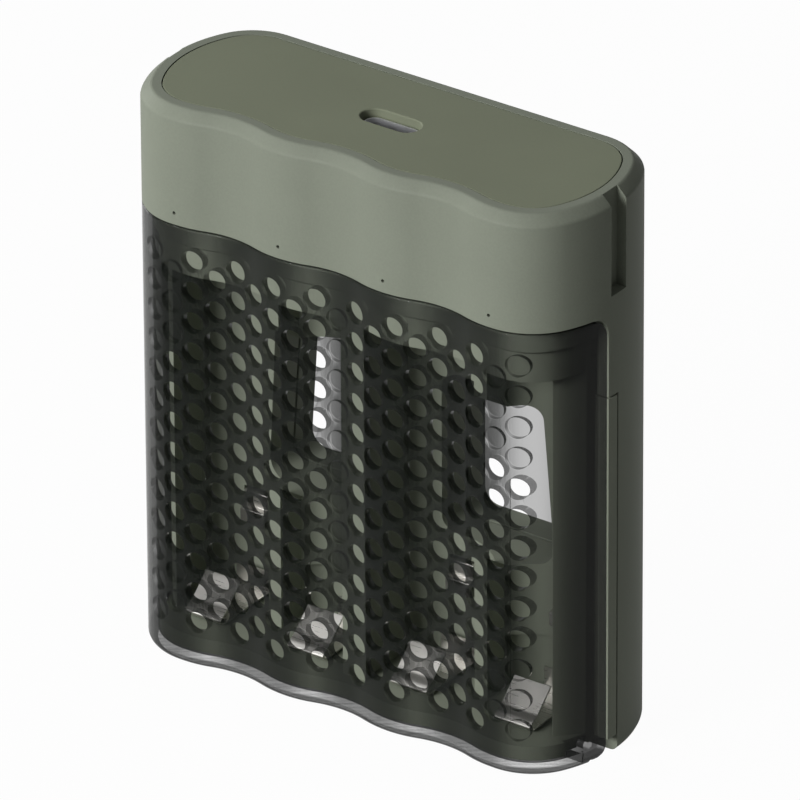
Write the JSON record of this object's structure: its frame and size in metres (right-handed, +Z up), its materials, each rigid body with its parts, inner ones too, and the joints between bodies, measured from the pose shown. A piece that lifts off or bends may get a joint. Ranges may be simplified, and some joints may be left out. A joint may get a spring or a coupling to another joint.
{
  "type": "battery charger",
  "caption": "Upright four-bay charger for AA and AAA cells with a wavy perforated flip cover, a moulded head with a top charging port and two push-out windows in the back.",
  "frame": {"origin": "under the middle of the base, where the charger stands", "axes": "+Z up along the cells, -Y towards the front with the flip cover, X along the row of cells"},
  "size_m": [0.0776, 0.0296, 0.089],
  "materials": {
    "olive_abs": "fine spark texture, olive grey",
    "olive_abs_plate": "fine spark texture, olive grey",
    "olive_abs_tray": "fine spark texture, olive grey",
    "smoked_polycarbonate": "clear smoked moulding, polished",
    "nickel_plated_strip": "nickel plated, bright",
    "solder_mask_green": "solder mask",
    "drawn_steel": "drawn, plated",
    "black_moulding": "matte black",
    "white_led": "cast resin",
    "clear_light_pipe": "clear, polished",
    "zinc_plated_screw": "zinc plated"
  },
  "bodies": {
    "charger": {"main_housing": "olive_abs", "top_plate": "olive_abs_plate", "battery_tray": "olive_abs_tray", "aa_contact_1": "nickel_plated_strip", "aa_contact_2": "nickel_plated_strip", "aa_contact_3": "nickel_plated_strip", "aa_contact_4": "nickel_plated_strip", "aaa_contact_1": "nickel_plated_strip", "aaa_contact_2": "nickel_plated_strip", "aaa_contact_3": "nickel_plated_strip", "aaa_contact_4": "nickel_plated_strip", "plus_contact_1": "nickel_plated_strip", "plus_contact_2": "nickel_plated_strip", "plus_contact_3": "nickel_plated_strip", "plus_contact_4": "nickel_plated_strip", "main_board": "solder_mask_green", "usb_shell": "drawn_steel", "usb_tongue": "black_moulding", "status_led_1": "white_led", "status_led_2": "white_led", "status_led_3": "white_led", "status_led_4": "white_led", "light_pipe_1": "clear_light_pipe", "light_pipe_2": "clear_light_pipe", "light_pipe_3": "clear_light_pipe", "light_pipe_4": "clear_light_pipe", "controller_chip": "black_moulding", "power_inductor_left": "black_moulding", "power_inductor_right": "black_moulding", "capacitor_left": "drawn_steel", "capacitor_right": "drawn_steel", "housing_screw_1": "zinc_plated_screw", "housing_screw_2": "zinc_plated_screw", "housing_screw_3": "zinc_plated_screw", "housing_screw_4": "zinc_plated_screw", "board_screw_1": "zinc_plated_screw", "board_screw_2": "zinc_plated_screw"},
    "cover": {"cover": "smoked_polycarbonate"}
  },
  "joints": [
    {"name": "cover_hinge", "type": "hinge", "parent": "charger", "child": "cover", "pos_m": [0, -0.0046, 0.0026], "axis": [1, 0, 0], "range_deg": [0, 90]}
  ]
}
